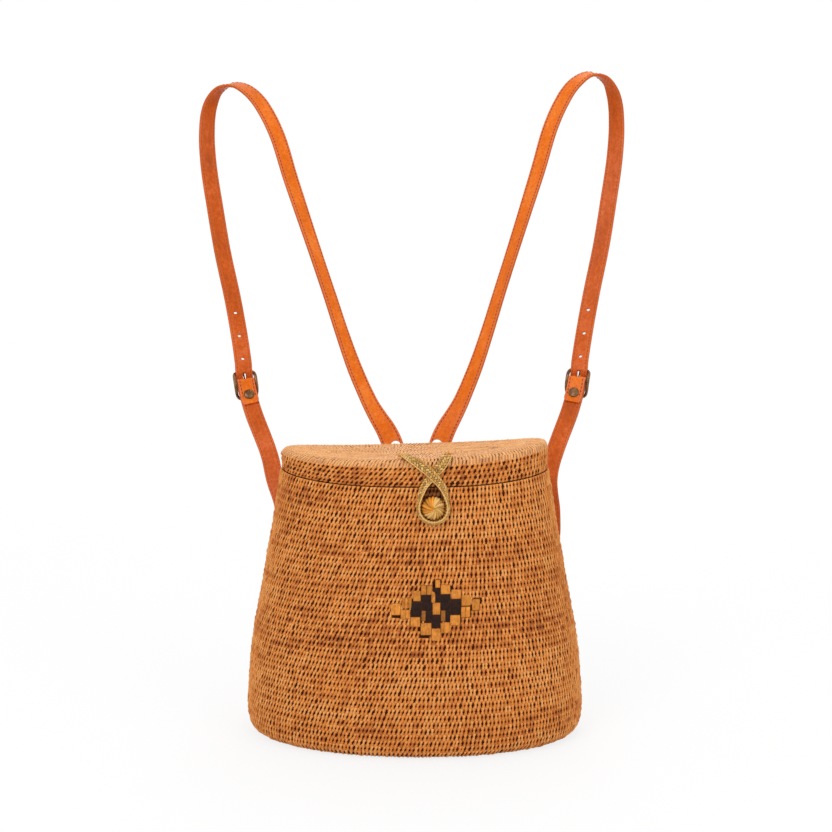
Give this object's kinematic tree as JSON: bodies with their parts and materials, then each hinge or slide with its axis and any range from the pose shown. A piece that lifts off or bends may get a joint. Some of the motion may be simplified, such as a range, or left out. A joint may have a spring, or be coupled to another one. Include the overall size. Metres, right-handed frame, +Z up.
{
  "type": "pack basket",
  "caption": "Oval coiled cane basket worn on the back, with a hinged lid, a plaited loop over a knob, and leather shoulder straps with buckles.",
  "frame": {"origin": "centre of the underside, on the plane that the basket stands on", "axes": "+Z up, -Y out of the front face with the knob, +X to the right as seen from the front"},
  "size_m": [0.3884, 0.2792, 0.5446],
  "materials": {
    "cane": "matt woven cane",
    "dark_cane": "matt, darker inner band and rings",
    "plait": "matt plaited grass",
    "leather": "smooth, slightly waxed",
    "bronze": "darkened antique metal"
  },
  "bodies": {
    "basket": {"basket_body": "cane", "rim_collar": "dark_cane", "button_cord": "plait", "hinge_ring_left": "dark_cane", "hinge_ring_right": "dark_cane", "strap_root_left": "leather", "strap_root_right": "leather", "strap_foot_left": "leather", "strap_foot_right": "leather", "root_rivet_left": "bronze", "root_rivet_right": "bronze", "root_washer_left": "bronze", "root_washer_right": "bronze", "foot_rivet_left": "bronze", "foot_rivet_right": "bronze", "foot_washer_left": "bronze", "foot_washer_right": "bronze"},
    "lid": {"lid": "cane", "loop_anchor_left": "plait", "loop_anchor_right": "plait"},
    "closure_loop": {"closure_loop": "plait"},
    "closure_button": {"closure_button": "plait"},
    "strap_left": {"strap_upper_left": "leather", "strap_lower_left": "leather", "buckle_frame_left": "bronze", "buckle_tongue_left": "bronze", "flap_rivet_left": "bronze"},
    "strap_right": {"strap_upper_right": "leather", "strap_lower_right": "leather", "buckle_frame_right": "bronze", "buckle_tongue_right": "bronze", "flap_rivet_right": "bronze"}
  },
  "joints": [
    {"name": "lid_hinge", "type": "hinge", "parent": "basket", "child": "lid", "pos_m": [0, 0.0583, 0.198], "axis": [-1, 0, 0], "range_deg": [0, 95]},
    {"name": "loop_lift", "type": "hinge", "parent": "lid", "child": "closure_loop", "pos_m": [0.0154, -0.04825, 0.22081], "axis": [-1, 0, 0], "range_deg": [0, 120]},
    {"name": "button_pull", "type": "slide", "parent": "basket", "child": "closure_button", "axis": [0.0598, -0.9835, 0.1708], "range_m": [0, 0.004]},
    {"name": "strap_left_swing", "type": "hinge", "parent": "basket", "child": "strap_left", "pos_m": [-0.064, 0.074, 0.15], "axis": [-1, 0, 0], "range_deg": [-20, 70]},
    {"name": "strap_right_swing", "type": "hinge", "parent": "basket", "child": "strap_right", "pos_m": [0.064, 0.074, 0.15], "axis": [-1, 0, 0], "range_deg": [-20, 70]}
  ]
}
